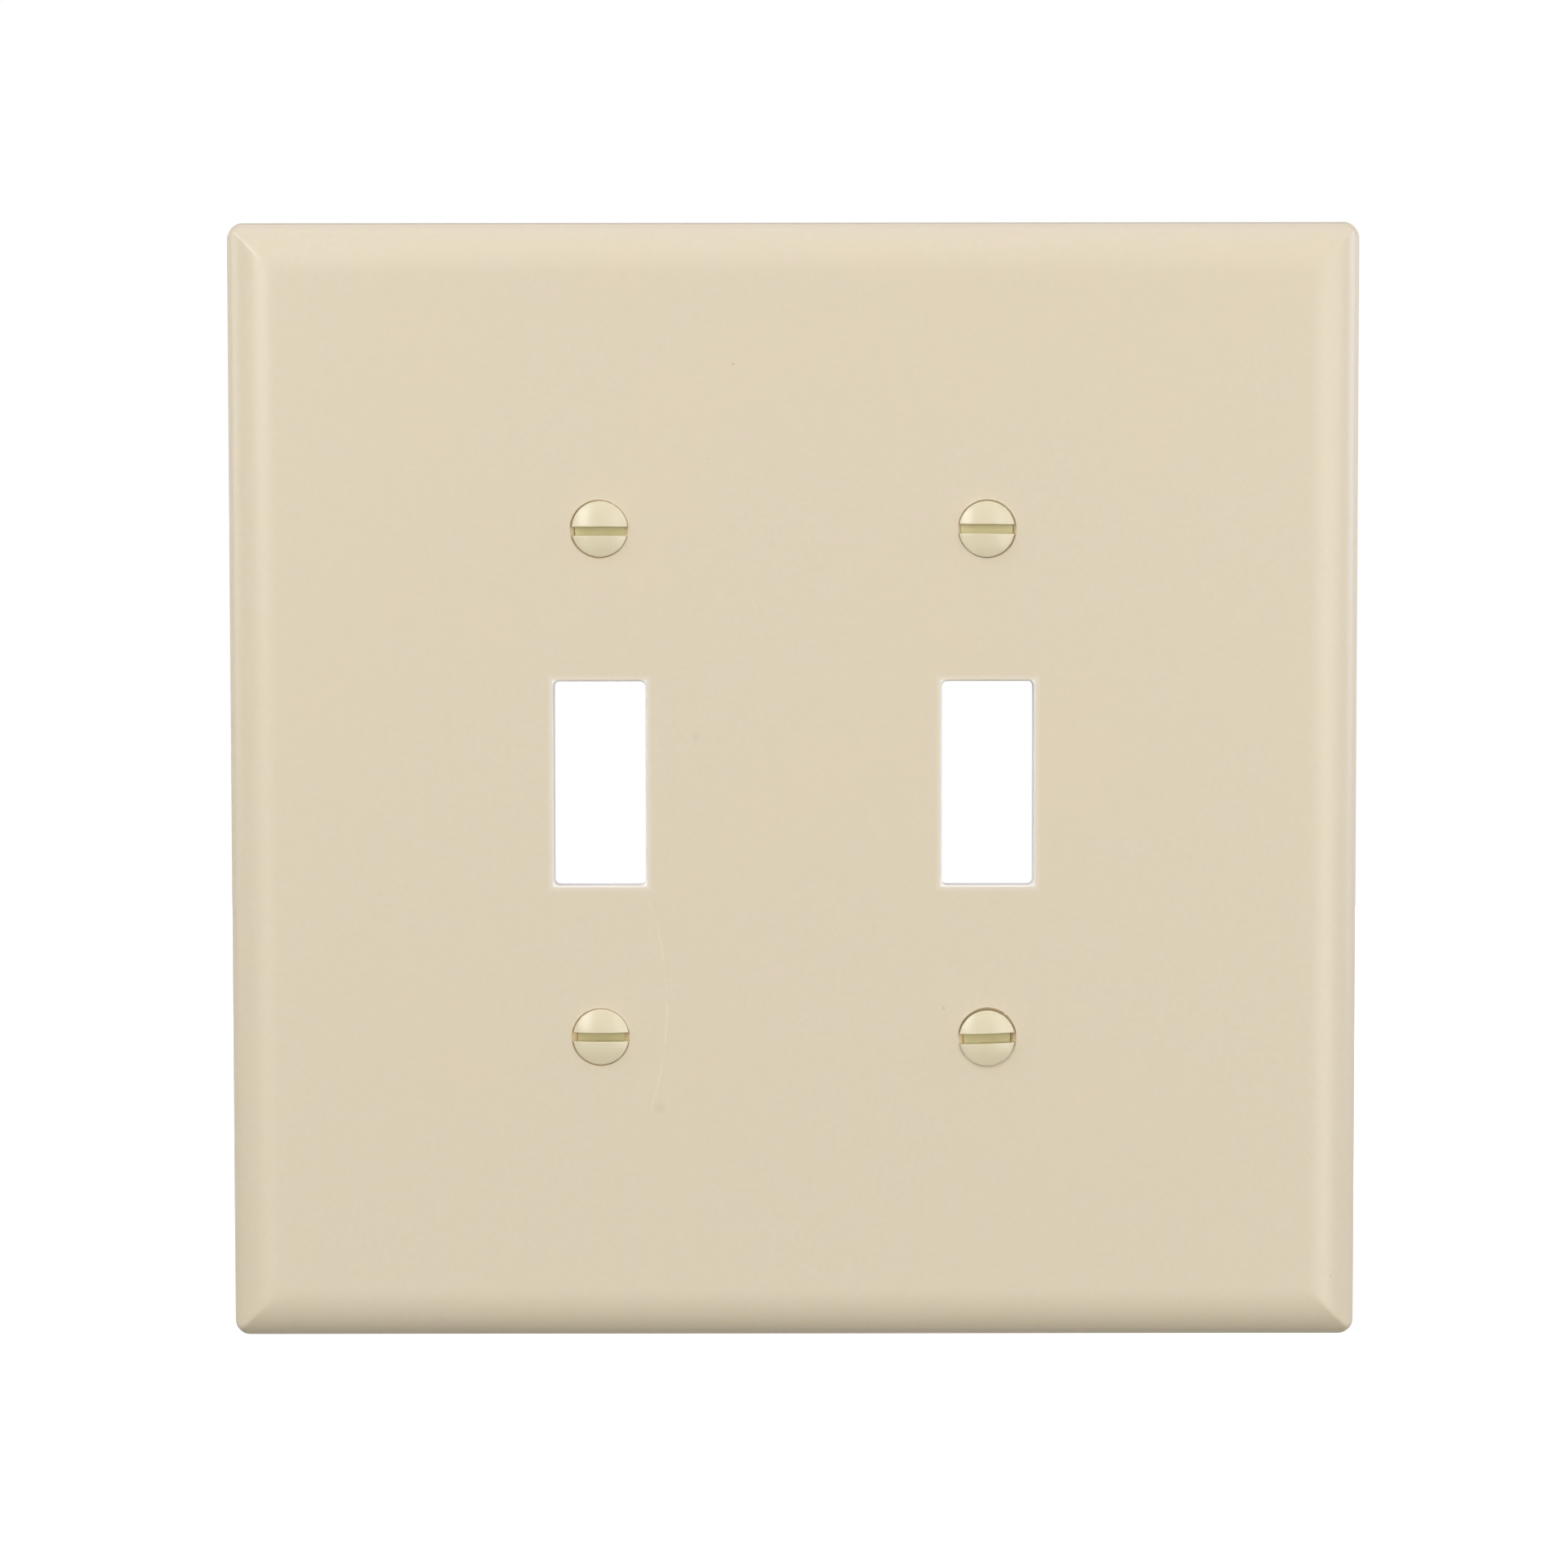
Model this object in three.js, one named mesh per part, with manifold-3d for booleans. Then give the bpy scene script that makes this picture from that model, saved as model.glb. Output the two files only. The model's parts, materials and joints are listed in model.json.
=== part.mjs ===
// Two-gang toggle switch wall plate, oversize pattern, with its four slotted oval-head screws.
//
// Millimetres. The plate hangs on a wall: the wall is the plane Y = 0, the front faces -Y, Z is up
// and X runs to the right as seen from the front. The origin is the centre of the back rim.
//
// Everything is drawn lying down, with the back rim on the plane Z = 0 and the front facing +Z,
// and one group at the end stands it up against the wall.

import * as THREE from 'three';
import Module from 'manifold-3d';
import { mergeVertices } from 'three/addons/utils/BufferGeometryUtils.js';

const wasm = await Module();
wasm.setup();

// ---- standard spacings of wiring devices ----
const GANG_SPACING = 46.04; // between the centres of two switches side by side
const SCREW_SPACING = 60.325; // between the upper and the lower screw of one switch

// ---- plate, outside ----
const PLATE_WIDTH = 134.94;
const PLATE_HEIGHT = 133.35;
const PLATE_DEPTH = 6.4;
const CORNER_RADIUS = 1.8; // of the outline at the wall
const LIP_HEIGHT = 4.2; // of the drafted side that meets the wall
const LIP_INSET = 0.45; // how far the side leans in over its height
const LEDGE_WIDTH = 0.12; // fine step between the side and the rolled edge
const ROLL_WIDTH = 5.8; // of the rolled edge between the ledge and the flat face
const ROLL_HEIGHT = PLATE_DEPTH - LIP_HEIGHT;
const ROLL_STEPS = 8;
const CORNER_STEPS = 5;

// ---- plate, back ----
const FACE_THICKNESS = 2.2;
const RECESS_DEPTH = PLATE_DEPTH - FACE_THICKNESS;
const RIM_WIDTH = 2.3; // flat ring that rests on the wall
const RECESS_ROLL_WIDTH = 2.6; // of the rounded corner between the side and the face
const RECESS_ROLL_HEIGHT = 1.6;
const RECESS_ROLL_STEPS = 3;
const BOSS_RADIUS = 4.6; // at its flat end, nearest the wall
const BOSS_FOOT_RADIUS = 5.1;
const BOSS_SETBACK = 1.6; // from the wall to the flat end of a boss
const COLLAR_WALL = 1.5; // around a toggle opening
const COLLAR_SETBACK = 2.8;
const RIB_THICKNESS = 1.4;
const RIB_SETBACK = 2.0;
const SINK = 0.5; // how far bosses, collars and ribs are sunk into the face

// ---- toggle openings ----
const TOGGLE_WIDTH = 10.9;
const TOGGLE_HEIGHT = 24.25;
const TOGGLE_CORNER_RADIUS = 0.7;
const TOGGLE_EDGE = 0.3; // chamfer round the front edge

// ---- countersunk holes ----
const HOLE_RADIUS = 2.0;
const COUNTERSINK_RADIUS = 3.45; // at the face
const COUNTERSINK_SLOPE = THREE.MathUtils.degToRad(41); // half of 82 degrees

// ---- #6-32 x 3/8 in slotted oval-head screws ----
const HEAD_RADIUS = 3.315;
const HEAD_DOME = 0.9; // above the rim of the head
const HEAD_LAND = 0.12; // straight edge at the rim
const DOME_STEPS = 6;
const THREAD_RADIUS = 1.75;
const SCREW_LENGTH = 9.525; // from the rim of the head to the tip
const TIP_CHAMFER = 0.5;
const SEAT_CLEARANCE = 0.1; // along the axis, between the head's cone and the countersink

// Each screw: which hole it is in, how far it sits to the right of and above the middle of that
// hole, how far it is turned, and its slot's width, its depth below the top of the dome, and how
// far the cutter missed the middle of the head.
const SCREWS = [
  {
    name: 'screw_top_left',
    column: -1,
    row: 1,
    right: 0.1,
    above: 0,
    turnDegrees: 0,
    slot: { width: 1.02, depth: 1.4, miss: -0.27 },
  },
  {
    name: 'screw_top_right',
    column: 1,
    row: 1,
    right: -0.15,
    above: -0.05,
    turnDegrees: -0.5,
    slot: { width: 1.08, depth: 1.26, miss: 0 },
  },
  {
    name: 'screw_bottom_left',
    column: -1,
    row: -1,
    right: 0.07,
    above: 0,
    turnDegrees: 0,
    slot: { width: 1.02, depth: 1.6, miss: 0 },
  },
  {
    name: 'screw_bottom_right',
    column: 1,
    row: -1,
    right: -0.04,
    above: -0.2,
    turnDegrees: 1.9,
    slot: { width: 1.16, depth: 1.6, miss: 0 },
  },
];

const ROUND_SEGMENTS = 40;
const MARGIN = 2; // how far cutters run past what they cut
const SAME_POINT = 1e-5; // points closer than this are one vertex

// ---- solids and their joins and cuts ----

function toSolid(geometry) {
  const bare = geometry.index ? geometry.toNonIndexed() : geometry.clone();
  bare.deleteAttribute('normal');
  bare.deleteAttribute('uv');
  const merged = mergeVertices(bare, SAME_POINT);
  return new wasm.Manifold(new wasm.Mesh({
    numProp: 3,
    vertProperties: new Float32Array(merged.attributes.position.array),
    triVerts: new Uint32Array(merged.index.array),
  }));
}

function toGeometry(solid) {
  const mesh = solid.getMesh();
  const indexed = new THREE.BufferGeometry();
  indexed.setAttribute('position', new THREE.BufferAttribute(mesh.vertProperties, mesh.numProp));
  indexed.setIndex(new THREE.BufferAttribute(mesh.triVerts, 1));
  const flat = indexed.toNonIndexed();
  flat.computeVertexNormals();
  return flat;
}

function roundedRectangle(width, height, radius) {
  const x = width / 2;
  const y = height / 2;
  const shape = new THREE.Shape();
  shape.moveTo(-x + radius, -y);
  shape.lineTo(x - radius, -y);
  shape.absarc(x - radius, -y + radius, radius, -Math.PI / 2, 0);
  shape.lineTo(x, y - radius);
  shape.absarc(x - radius, y - radius, radius, 0, Math.PI / 2);
  shape.lineTo(-x + radius, y);
  shape.absarc(-x + radius, y - radius, radius, Math.PI / 2, Math.PI);
  shape.lineTo(-x, -y + radius);
  shape.absarc(-x + radius, -y + radius, radius, Math.PI, 1.5 * Math.PI);
  return shape;
}

function rectangle(width, height) {
  const x = width / 2;
  const y = height / 2;
  return new THREE.Shape([
    new THREE.Vector2(-x, -y),
    new THREE.Vector2(x, -y),
    new THREE.Vector2(x, y),
    new THREE.Vector2(-x, y),
  ]);
}

// A block whose front end is `shape` at height `top`. Its sides spread by `spread` over `fall`
// on the way down, in `steps` steps of a quarter ellipse, and run straight to below the wall.
function flaredBlock(shape, top, spread, fall, steps) {
  const straight = top - fall + MARGIN;
  const geometry = new THREE.ExtrudeGeometry(shape, {
    depth: straight,
    curveSegments: CORNER_STEPS,
    bevelEnabled: true,
    bevelThickness: fall,
    bevelSize: spread,
    bevelSegments: steps,
  });
  geometry.translate(0, 0, top - fall - straight);
  return toSolid(geometry);
}

function prism(shape, bottom, top) {
  const geometry = new THREE.ExtrudeGeometry(shape, {
    depth: top - bottom,
    curveSegments: CORNER_STEPS,
    bevelEnabled: false,
  });
  geometry.translate(0, 0, bottom);
  return toSolid(geometry);
}

function block(width, height, bottom, top) {
  const geometry = new THREE.BoxGeometry(width, height, top - bottom);
  geometry.translate(0, 0, (bottom + top) / 2);
  return toSolid(geometry);
}

// A turned solid about the Z axis from [radius, height] points, from the axis back to the axis.
function turned(points) {
  const profile = points.map(([radius, height]) => new THREE.Vector2(radius, height));
  const geometry = new THREE.LatheGeometry(profile, ROUND_SEGMENTS);
  geometry.rotateX(Math.PI / 2);
  return toSolid(geometry);
}

// ---- wall plate ----

function plateShell() {
  const faceInset = LIP_INSET + LEDGE_WIDTH + ROLL_WIDTH;
  const rolled = flaredBlock(
    rectangle(PLATE_WIDTH - 2 * faceInset, PLATE_HEIGHT - 2 * faceInset),
    PLATE_DEPTH,
    ROLL_WIDTH,
    ROLL_HEIGHT,
    ROLL_STEPS,
  );
  const lean = LIP_INSET / LIP_HEIGHT;
  const frontInset = lean * PLATE_DEPTH;
  const drafted = flaredBlock(
    roundedRectangle(
      PLATE_WIDTH - 2 * frontInset,
      PLATE_HEIGHT - 2 * frontInset,
      CORNER_RADIUS - frontInset,
    ),
    PLATE_DEPTH,
    frontInset + lean * MARGIN,
    PLATE_DEPTH + MARGIN,
    1,
  );
  const clearWidth = PLATE_WIDTH + 2 * MARGIN;
  const clearHeight = PLATE_HEIGHT + 2 * MARGIN;
  const lipZone = block(clearWidth, clearHeight, -MARGIN, LIP_HEIGHT);
  const inFrontOfWall = block(clearWidth, clearHeight, 0, PLATE_DEPTH + MARGIN);
  const recess = flaredBlock(
    rectangle(
      PLATE_WIDTH - 2 * (RIM_WIDTH + RECESS_ROLL_WIDTH),
      PLATE_HEIGHT - 2 * (RIM_WIDTH + RECESS_ROLL_WIDTH),
    ),
    RECESS_DEPTH,
    RECESS_ROLL_WIDTH,
    RECESS_ROLL_HEIGHT,
    RECESS_ROLL_STEPS,
  );
  return rolled.add(lipZone).intersect(drafted).intersect(inFrontOfWall).subtract(recess);
}

function boss() {
  return turned([
    [0, BOSS_SETBACK],
    [BOSS_RADIUS, BOSS_SETBACK],
    [BOSS_FOOT_RADIUS, RECESS_DEPTH],
    [BOSS_FOOT_RADIUS, RECESS_DEPTH + SINK],
    [0, RECESS_DEPTH + SINK],
  ]);
}

function collar() {
  const outline = roundedRectangle(
    TOGGLE_WIDTH + 2 * COLLAR_WALL,
    TOGGLE_HEIGHT + 2 * COLLAR_WALL,
    TOGGLE_CORNER_RADIUS + COLLAR_WALL,
  );
  return prism(outline, COLLAR_SETBACK, RECESS_DEPTH + SINK);
}

// The rib that ties the two bosses and the collar of one switch together.
function gangRib() {
  return block(RIB_THICKNESS, SCREW_SPACING, COLLAR_SETBACK, RECESS_DEPTH + SINK);
}

// The stiffening rib down the middle of the plate, from rim to rim.
function middleRib() {
  const reach = PLATE_HEIGHT - 2 * (RIM_WIDTH - SINK);
  return block(RIB_THICKNESS, reach, RIB_SETBACK, RECESS_DEPTH + SINK);
}

function toggleOpening() {
  const through = prism(
    roundedRectangle(TOGGLE_WIDTH, TOGGLE_HEIGHT, TOGGLE_CORNER_RADIUS),
    -MARGIN,
    PLATE_DEPTH + MARGIN,
  );
  const chamfer = new THREE.ExtrudeGeometry(
    roundedRectangle(TOGGLE_WIDTH, TOGGLE_HEIGHT, TOGGLE_CORNER_RADIUS),
    {
      depth: MARGIN,
      curveSegments: CORNER_STEPS,
      bevelEnabled: true,
      bevelThickness: TOGGLE_EDGE,
      bevelSize: TOGGLE_EDGE,
      bevelSegments: 1,
    },
  );
  chamfer.translate(0, 0, PLATE_DEPTH);
  return through.add(toSolid(chamfer));
}

function screwHole() {
  const slope = Math.tan(COUNTERSINK_SLOPE);
  const throat = PLATE_DEPTH - (COUNTERSINK_RADIUS - HOLE_RADIUS) / slope;
  return turned([
    [0, -MARGIN],
    [HOLE_RADIUS, -MARGIN],
    [HOLE_RADIUS, throat],
    [COUNTERSINK_RADIUS + MARGIN * slope, PLATE_DEPTH + MARGIN],
    [0, PLATE_DEPTH + MARGIN],
  ]);
}

function wallPlateSolid() {
  let plate = plateShell().add(middleRib());
  for (const column of [-1, 1]) {
    const x = column * GANG_SPACING / 2;
    plate = plate.add(collar().translate([x, 0, 0]));
    plate = plate.add(gangRib().translate([x, 0, 0]));
    for (const row of [-1, 1]) {
      plate = plate.add(boss().translate([x, row * SCREW_SPACING / 2, 0]));
    }
  }
  for (const column of [-1, 1]) {
    const x = column * GANG_SPACING / 2;
    plate = plate.subtract(toggleOpening().translate([x, 0, 0]));
    for (const row of [-1, 1]) {
      plate = plate.subtract(screwHole().translate([x, row * SCREW_SPACING / 2, 0]));
    }
  }
  return plate;
}

// ---- screws ----

// The screw stands on its own axis with the rim of its head at height 0 and its tip below.
function screwSolid(slot) {
  const coneDepth = (HEAD_RADIUS - THREAD_RADIUS) / Math.tan(COUNTERSINK_SLOPE);
  const points = [
    [0, -SCREW_LENGTH],
    [THREAD_RADIUS - TIP_CHAMFER, -SCREW_LENGTH],
    [THREAD_RADIUS, -SCREW_LENGTH + TIP_CHAMFER],
    [THREAD_RADIUS, -coneDepth],
    [HEAD_RADIUS, 0],
  ];
  const crown = HEAD_DOME - HEAD_LAND;
  const domeRadius = (HEAD_RADIUS ** 2 + crown ** 2) / (2 * crown);
  const domeAngle = Math.asin(HEAD_RADIUS / domeRadius);
  for (let step = 0; step < DOME_STEPS; step += 1) {
    const angle = domeAngle * (1 - step / DOME_STEPS);
    points.push([
      domeRadius * Math.sin(angle),
      HEAD_DOME - domeRadius * (1 - Math.cos(angle)),
    ]);
  }
  points.push([0, HEAD_DOME]);
  const reach = 2 * (HEAD_RADIUS + MARGIN);
  const cutter = block(reach, slot.width, HEAD_DOME - slot.depth, HEAD_DOME + MARGIN);
  return turned(points).subtract(cutter.translate([0, slot.miss, 0]));
}

// A head that sits off the middle of its hole rides up the countersink by the same slope.
function seatHeight(offCentre) {
  const slope = Math.tan(COUNTERSINK_SLOPE);
  const seated = PLATE_DEPTH - (COUNTERSINK_RADIUS - HEAD_RADIUS) / slope;
  return seated + SEAT_CLEARANCE + offCentre / slope;
}

// ---- materials ----

const ivoryPlastic = new THREE.MeshStandardMaterial({ color: 0xded2b9, roughness: 0.4, metalness: 0 });
const ivoryPaint = new THREE.MeshStandardMaterial({ color: 0xd8c9a2, roughness: 0.25, metalness: 0 });

// ---- assembly ----

const assembly = new THREE.Group();
assembly.rotation.x = Math.PI / 2;

const wallPlate = new THREE.Mesh(toGeometry(wallPlateSolid()), ivoryPlastic);
wallPlate.name = 'wall_plate';
assembly.add(wallPlate);

for (const { name, column, row, right, above, turnDegrees, slot } of SCREWS) {
  const screw = new THREE.Mesh(toGeometry(screwSolid(slot)), ivoryPaint.clone());
  screw.name = name;
  screw.position.set(
    column * GANG_SPACING / 2 + right,
    row * SCREW_SPACING / 2 + above,
    seatHeight(Math.hypot(right, above)),
  );
  screw.rotation.z = THREE.MathUtils.degToRad(turnDegrees);
  assembly.add(screw);
}

const standing = new THREE.Group();
standing.add(assembly);

export default standing;
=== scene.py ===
"""The looks of a two-gang toggle wall plate and its four slotted oval-head screws.

Row frame, in metres: the wall is the plane Y = 0, the front faces -Y, Z is up and X runs to the
right as seen from the front. Shapes are worked out in millimetres as (x, height, z), where the
height is measured from the wall towards the front, and become metres when a mesh is made.
"""

import json
import math

import bmesh
import bpy
from mathutils import Matrix, Vector


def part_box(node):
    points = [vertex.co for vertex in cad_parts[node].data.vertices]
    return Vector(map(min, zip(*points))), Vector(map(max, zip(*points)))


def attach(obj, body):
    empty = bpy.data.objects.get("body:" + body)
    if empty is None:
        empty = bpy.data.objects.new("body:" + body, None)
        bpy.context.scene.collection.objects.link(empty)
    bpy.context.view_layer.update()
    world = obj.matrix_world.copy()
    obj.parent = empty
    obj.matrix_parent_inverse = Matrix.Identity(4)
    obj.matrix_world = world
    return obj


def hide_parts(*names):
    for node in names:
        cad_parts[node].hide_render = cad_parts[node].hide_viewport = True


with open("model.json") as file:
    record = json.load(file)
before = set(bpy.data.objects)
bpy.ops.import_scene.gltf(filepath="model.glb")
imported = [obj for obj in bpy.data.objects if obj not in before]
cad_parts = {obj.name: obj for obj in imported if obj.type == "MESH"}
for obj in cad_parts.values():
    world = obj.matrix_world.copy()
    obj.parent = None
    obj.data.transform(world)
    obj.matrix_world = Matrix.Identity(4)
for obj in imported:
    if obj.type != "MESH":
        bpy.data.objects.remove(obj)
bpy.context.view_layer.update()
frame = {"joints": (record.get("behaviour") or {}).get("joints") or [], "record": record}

MM = 0.001
plate_low, plate_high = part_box("wall_plate")
joints = {joint["child"]: joint for joint in frame["joints"]}

# ---- plate, outside ----
HALF_WIDTH = (plate_high.x - plate_low.x) / 2 / MM
HALF_HEIGHT = (plate_high.z - plate_low.z) / 2 / MM
DEPTH = -plate_low.y / MM
LIP_HEIGHT = 4.2  # of the drafted side that meets the wall
LIP_INSET = 0.45  # how far the side leans in over that height
LIP_EDGE = 0.3  # round at the top of the side
LIP_TURN = math.radians(50)  # how far that round turns before the rolled edge starts
BACK_EDGE = 0.15  # round where the side meets the wall
ROLL_FILLET = 0.05  # where the round meets the steeper rolled edge
ROLL_START = LIP_INSET + LIP_EDGE * (1 - math.cos(LIP_TURN))
ROLL_BASE = LIP_HEIGHT - LIP_EDGE * (1 - math.sin(LIP_TURN))
ROLL_WIDTH = 5.81  # of the rolled edge up to the flat face
ROLL_RISE = math.radians(20)  # where on its ellipse the rolled edge starts; 0 would be upright
ROLL_STEPS = 26
FACE_MARGIN = 1.2  # flat ring between the rolled edge and the rest of the face
OUTLINE_RADIUS = 1.8  # of the outline at the wall
RIDGE_RADIUS = 0.25  # of the mitre where two rolled edges meet, at its sharpest
RIDGE_BLEND = 0.4  # how quickly the round corner sharpens into the mitre
RIDGE_SPREAD = 0.4  # how much softer the mitre is where it meets the face
CORNER_STEPS = 14

# ---- plate, back ----
FACE_THICKNESS = 2.2
RECESS_DEPTH = DEPTH - FACE_THICKNESS
RIM_WIDTH = 2.3
RIM_EDGE = 0.2
RECESS_DRAFT = 0.12
RECESS_ROLL_WIDTH = 2.6
RECESS_ROLL_HEIGHT = 1.6
RECESS_ROLL_STEPS = 10
RECESS_CORNER = 1.2
GANG_SPACING = 46.04
SCREW_SPACING = 60.325
BOSS_RADIUS = 4.6
BOSS_FOOT_RADIUS = 4.9
BOSS_SETBACK = 1.6
BOSS_EDGE = 0.3
BOSS_FILLET = 0.6
COLLAR_WALL = 1.5
COLLAR_SETBACK = 2.8
COLLAR_EDGE = 0.25
COLLAR_FILLET = 0.5
COLLAR_DRAFT = 0.1
RIB_CREST = 1.1
RIB_FOOT = 1.5
RIB_EDGE = 0.3
RIB_FILLET = 0.45
RIB_SETBACK = 2.0
SINK = 0.5  # how far what stands on the back of the face is sunk into it

# ---- toggle openings ----
TOGGLE_WIDTH = 10.9
TOGGLE_HEIGHT = 24.25
TOGGLE_CORNER = 0.65
TOGGLE_EDGE = 0.3
TOGGLE_BACK_EDGE = 0.2
PAINTED_OPENING_REACH = 0.8  # how far round an opening the painted light reaches

# ---- countersunk holes ----
HOLE_RADIUS = 2.0
HOLE_EDGE = 0.2
COUNTERSINK_RADIUS = 3.475
COUNTERSINK_EDGE = 0.08
COUNTERSINK_SLOPE = math.radians(41)

# How far each screw hole is off its nominal place (x, z), by its column and row.
HOLE_ERRORS = {(-1, 1): (-0.01, 0.01), (-1, -1): (0, -0.05), (1, 1): (-0.08, 0), (1, -1): (0, 0)}

# Specks of flash on the countersinks: which hole (column, row), where round it in degrees
# anticlockwise from the right, how far from its axis and how deep, and the half-sizes round,
# away from and along the axis.
FLASH = [
    {"hole": (-1, 1), "bearing": 60, "radius": 3.44, "depth": 0.03, "size": (0.3, 0.07, 0.06)},
    {"hole": (1, -1), "bearing": 51, "radius": 3.37, "depth": 0.08, "size": (0.16, 0.14, 0.1)},
    {"hole": (1, -1), "bearing": -1, "radius": 3.42, "depth": 0.05, "size": (0.13, 0.12, 0.08)},
]
# A pit in a countersink, given in the same way.
PIT = {"hole": (1, -1), "bearing": -7, "radius": 3.0, "depth": 0.55, "size": (0.12, 0.12, 0.12)}

# ---- marks on the face: middle (x, z), radius and strength ----
SPECKS = [
    ((-7.07, 49.56), 0.16, 0.55),
    ((-10.2, 38.5), 0.14, 0.2),
    ((-3.2, 36.8), 0.14, 0.18),
    ((64.05, -59.0), 0.14, 0.45),
    ((-11.6, 5.6), 0.6, 0.1),
    ((17.8, -26.8), 0.28, 0.22),
    ((-16.05, -38.7), 0.8, 0.1),
]
SCRATCH_CENTRE = (-54.9, -26.5)
SCRATCH_RADIUS = 39.8
SCRATCH_WIDTH = 0.14
SCRATCH_FADE = (-18.2, -16.8)  # where along X the arc fades in

# ---- screws, measured from the rim of the head towards the front ----
HEAD_RADIUS = 3.315
HEAD_DOME = 0.9
HEAD_LAND = 0.28  # height of the straight border under the dome
HEAD_EDGE = 0.14
THREAD_RADIUS = 1.75
THREAD_ROOT = 1.27
THREAD_PITCH = 0.794
THREAD_CREST = 1 / 16  # half the width of the crest, as a share of the pitch
THREAD_FLANK = 6 / 16  # width of a flank, as a share of the pitch
TIP_RADIUS = 1.22  # of the flat end, inside its chamfer
THREAD_STEPS = 10  # rings in one pitch
NECK_RADIUS = 1.45
NECK_LENGTH = 0.5
THREAD_RUNOUT = 0.6
SCREW_LENGTH = 9.525
HEAD_SEAT = 0.085  # straight land below the rim, down to where the cone meets the countersink
PAINT_REACH = 0.8  # how far the paint runs down the head
PAINT_MARGIN = 0.01  # how far past the slot's walls a face still counts as inside it
SLOT_EDGE = 0.1
SLOT_FILLET = 0.12
SLOT_FLARE = 0.1  # how much wider the slot's cutter is above the head
SLOT_STEPS = 48
DOME_STEPS = 16
ROUND_STEPS = 96

# Each screw's slot: its width, its depth below the top of the dome, how far the cutter missed
# the middle of the head, and how far the slot is turned anticlockwise.
SLOTS = {
    "top_left_screw": {"width": 1.02, "depth": 1.4, "miss": -0.27, "turn": 0},
    "top_right_screw": {"width": 1.08, "depth": 1.26, "miss": 0, "turn": -0.5},
    "bottom_left_screw": {"width": 1.02, "depth": 1.6, "miss": 0, "turn": 0},
    "bottom_right_screw": {"width": 1.16, "depth": 1.6, "miss": 0, "turn": 1.9},
}

ARC_STEPS = 6
CUT_TURN = 86  # how far a rounding cut turns, in degrees; less than 90, to cross the face
FOOT_TURN = 84  # how far the fillet at a foot turns, for the same reason
OVERSHOOT = 0.004  # how far a rounding cut passes the face that it ends on
FLARE = 0.15  # how much wider a cutter is above the face than the rounded edge it leaves
FLARE_RISE = 0.1
CLEAR = 1.0  # how far a cutter runs past what it cuts
SMOOTH_ANGLE = math.radians(38)


# ---- meshes ----


def to_row(x, height, z):
    return Vector((x, -height, z)) * MM


def rounded_rectangle(half_x, half_z, radius, height):
    """A ring of points, anticlockwise as seen from the front."""
    ring = []
    for corner, (side_x, side_z) in enumerate([(1, 1), (-1, 1), (-1, -1), (1, -1)]):
        for step in range(CORNER_STEPS + 1):
            angle = math.radians(90 * (corner + step / CORNER_STEPS))
            x = side_x * (half_x - radius) + radius * math.cos(angle)
            z = side_z * (half_z - radius) + radius * math.sin(angle)
            ring.append((x, height, z))
    return ring


def circle(radius, height):
    ring = []
    for step in range(ROUND_STEPS):
        angle = 2 * math.pi * step / ROUND_STEPS
        ring.append((radius * math.cos(angle), height, radius * math.sin(angle)))
    return ring


def loft(name, rings, centre=(0, 0)):
    """A closed solid through rings of equally many points, with a flat face at each end."""
    mesh = bmesh.new()
    rows = []
    for ring in rings:
        points = [to_row(x + centre[0], height, z + centre[1]) for x, height, z in ring]
        rows.append([mesh.verts.new(point) for point in points])
    count = len(rows[0])
    for lower, upper in zip(rows, rows[1:]):
        for i in range(count):
            j = (i + 1) % count
            mesh.faces.new((lower[i], lower[j], upper[j], upper[i]))
    mesh.faces.new(rows[0])
    mesh.faces.new(rows[-1])
    bmesh.ops.recalc_face_normals(mesh, faces=mesh.faces)
    return from_bmesh(name, mesh)


def from_bmesh(name, mesh):
    data = bpy.data.meshes.new(name)
    mesh.to_mesh(data)
    mesh.free()
    made = bpy.data.objects.new(name, data)
    bpy.context.scene.collection.objects.link(made)
    return made


def apply_modifiers(made):
    graph = bpy.context.evaluated_depsgraph_get()
    finished = bpy.data.meshes.new_from_object(made.evaluated_get(graph), depsgraph=graph)
    made.modifiers.clear()
    made.data = finished


def combine(base, tools, operation):
    """Joins solids to base, or cuts them from it, and uses them up."""
    for tool in tools:
        step = base.modifiers.new(tool.name, "BOOLEAN")
        step.operation = operation
        step.solver = "MANIFOLD"
        step.object = tool
    apply_modifiers(base)
    for tool in tools:
        bpy.data.objects.remove(tool)


def smooth(made):
    """Smooth shading with crisp edges, and flats that stay flat up to their rounded borders."""
    made.data.shade_smooth()
    made.data.set_sharp_from_angle(angle=SMOOTH_ANGLE)
    weighting = made.modifiers.new("weighted normals", "WEIGHTED_NORMAL")
    weighting.mode = "FACE_AREA"
    weighting.weight = 50
    weighting.keep_sharp = True
    apply_modifiers(made)


def rounding(radius):
    """(outset, rise) pairs of a cut that rounds the edge of a face it just passes."""
    pairs = []
    for step in range(ARC_STEPS + 1):
        angle = math.radians(CUT_TURN * step / ARC_STEPS)
        rise = radius * (math.sin(angle) - 1) + OVERSHOOT
        pairs.append((radius * (1 - math.cos(angle)), rise))
    pairs.append((radius + FLARE, FLARE_RISE))
    pairs.append((radius + FLARE, CLEAR))
    return pairs


# ---- wall plate ----


def corner_radius(inset):
    """Of the outline at some distance inside the plate's edge: round, then a mitre."""
    past = max(inset - ROLL_START, 0)
    sharpened = RIDGE_RADIUS + (OUTLINE_RADIUS - RIDGE_RADIUS) * math.exp(-past / RIDGE_BLEND)
    return sharpened + RIDGE_SPREAD * (past / ROLL_WIDTH) ** 2


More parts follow.
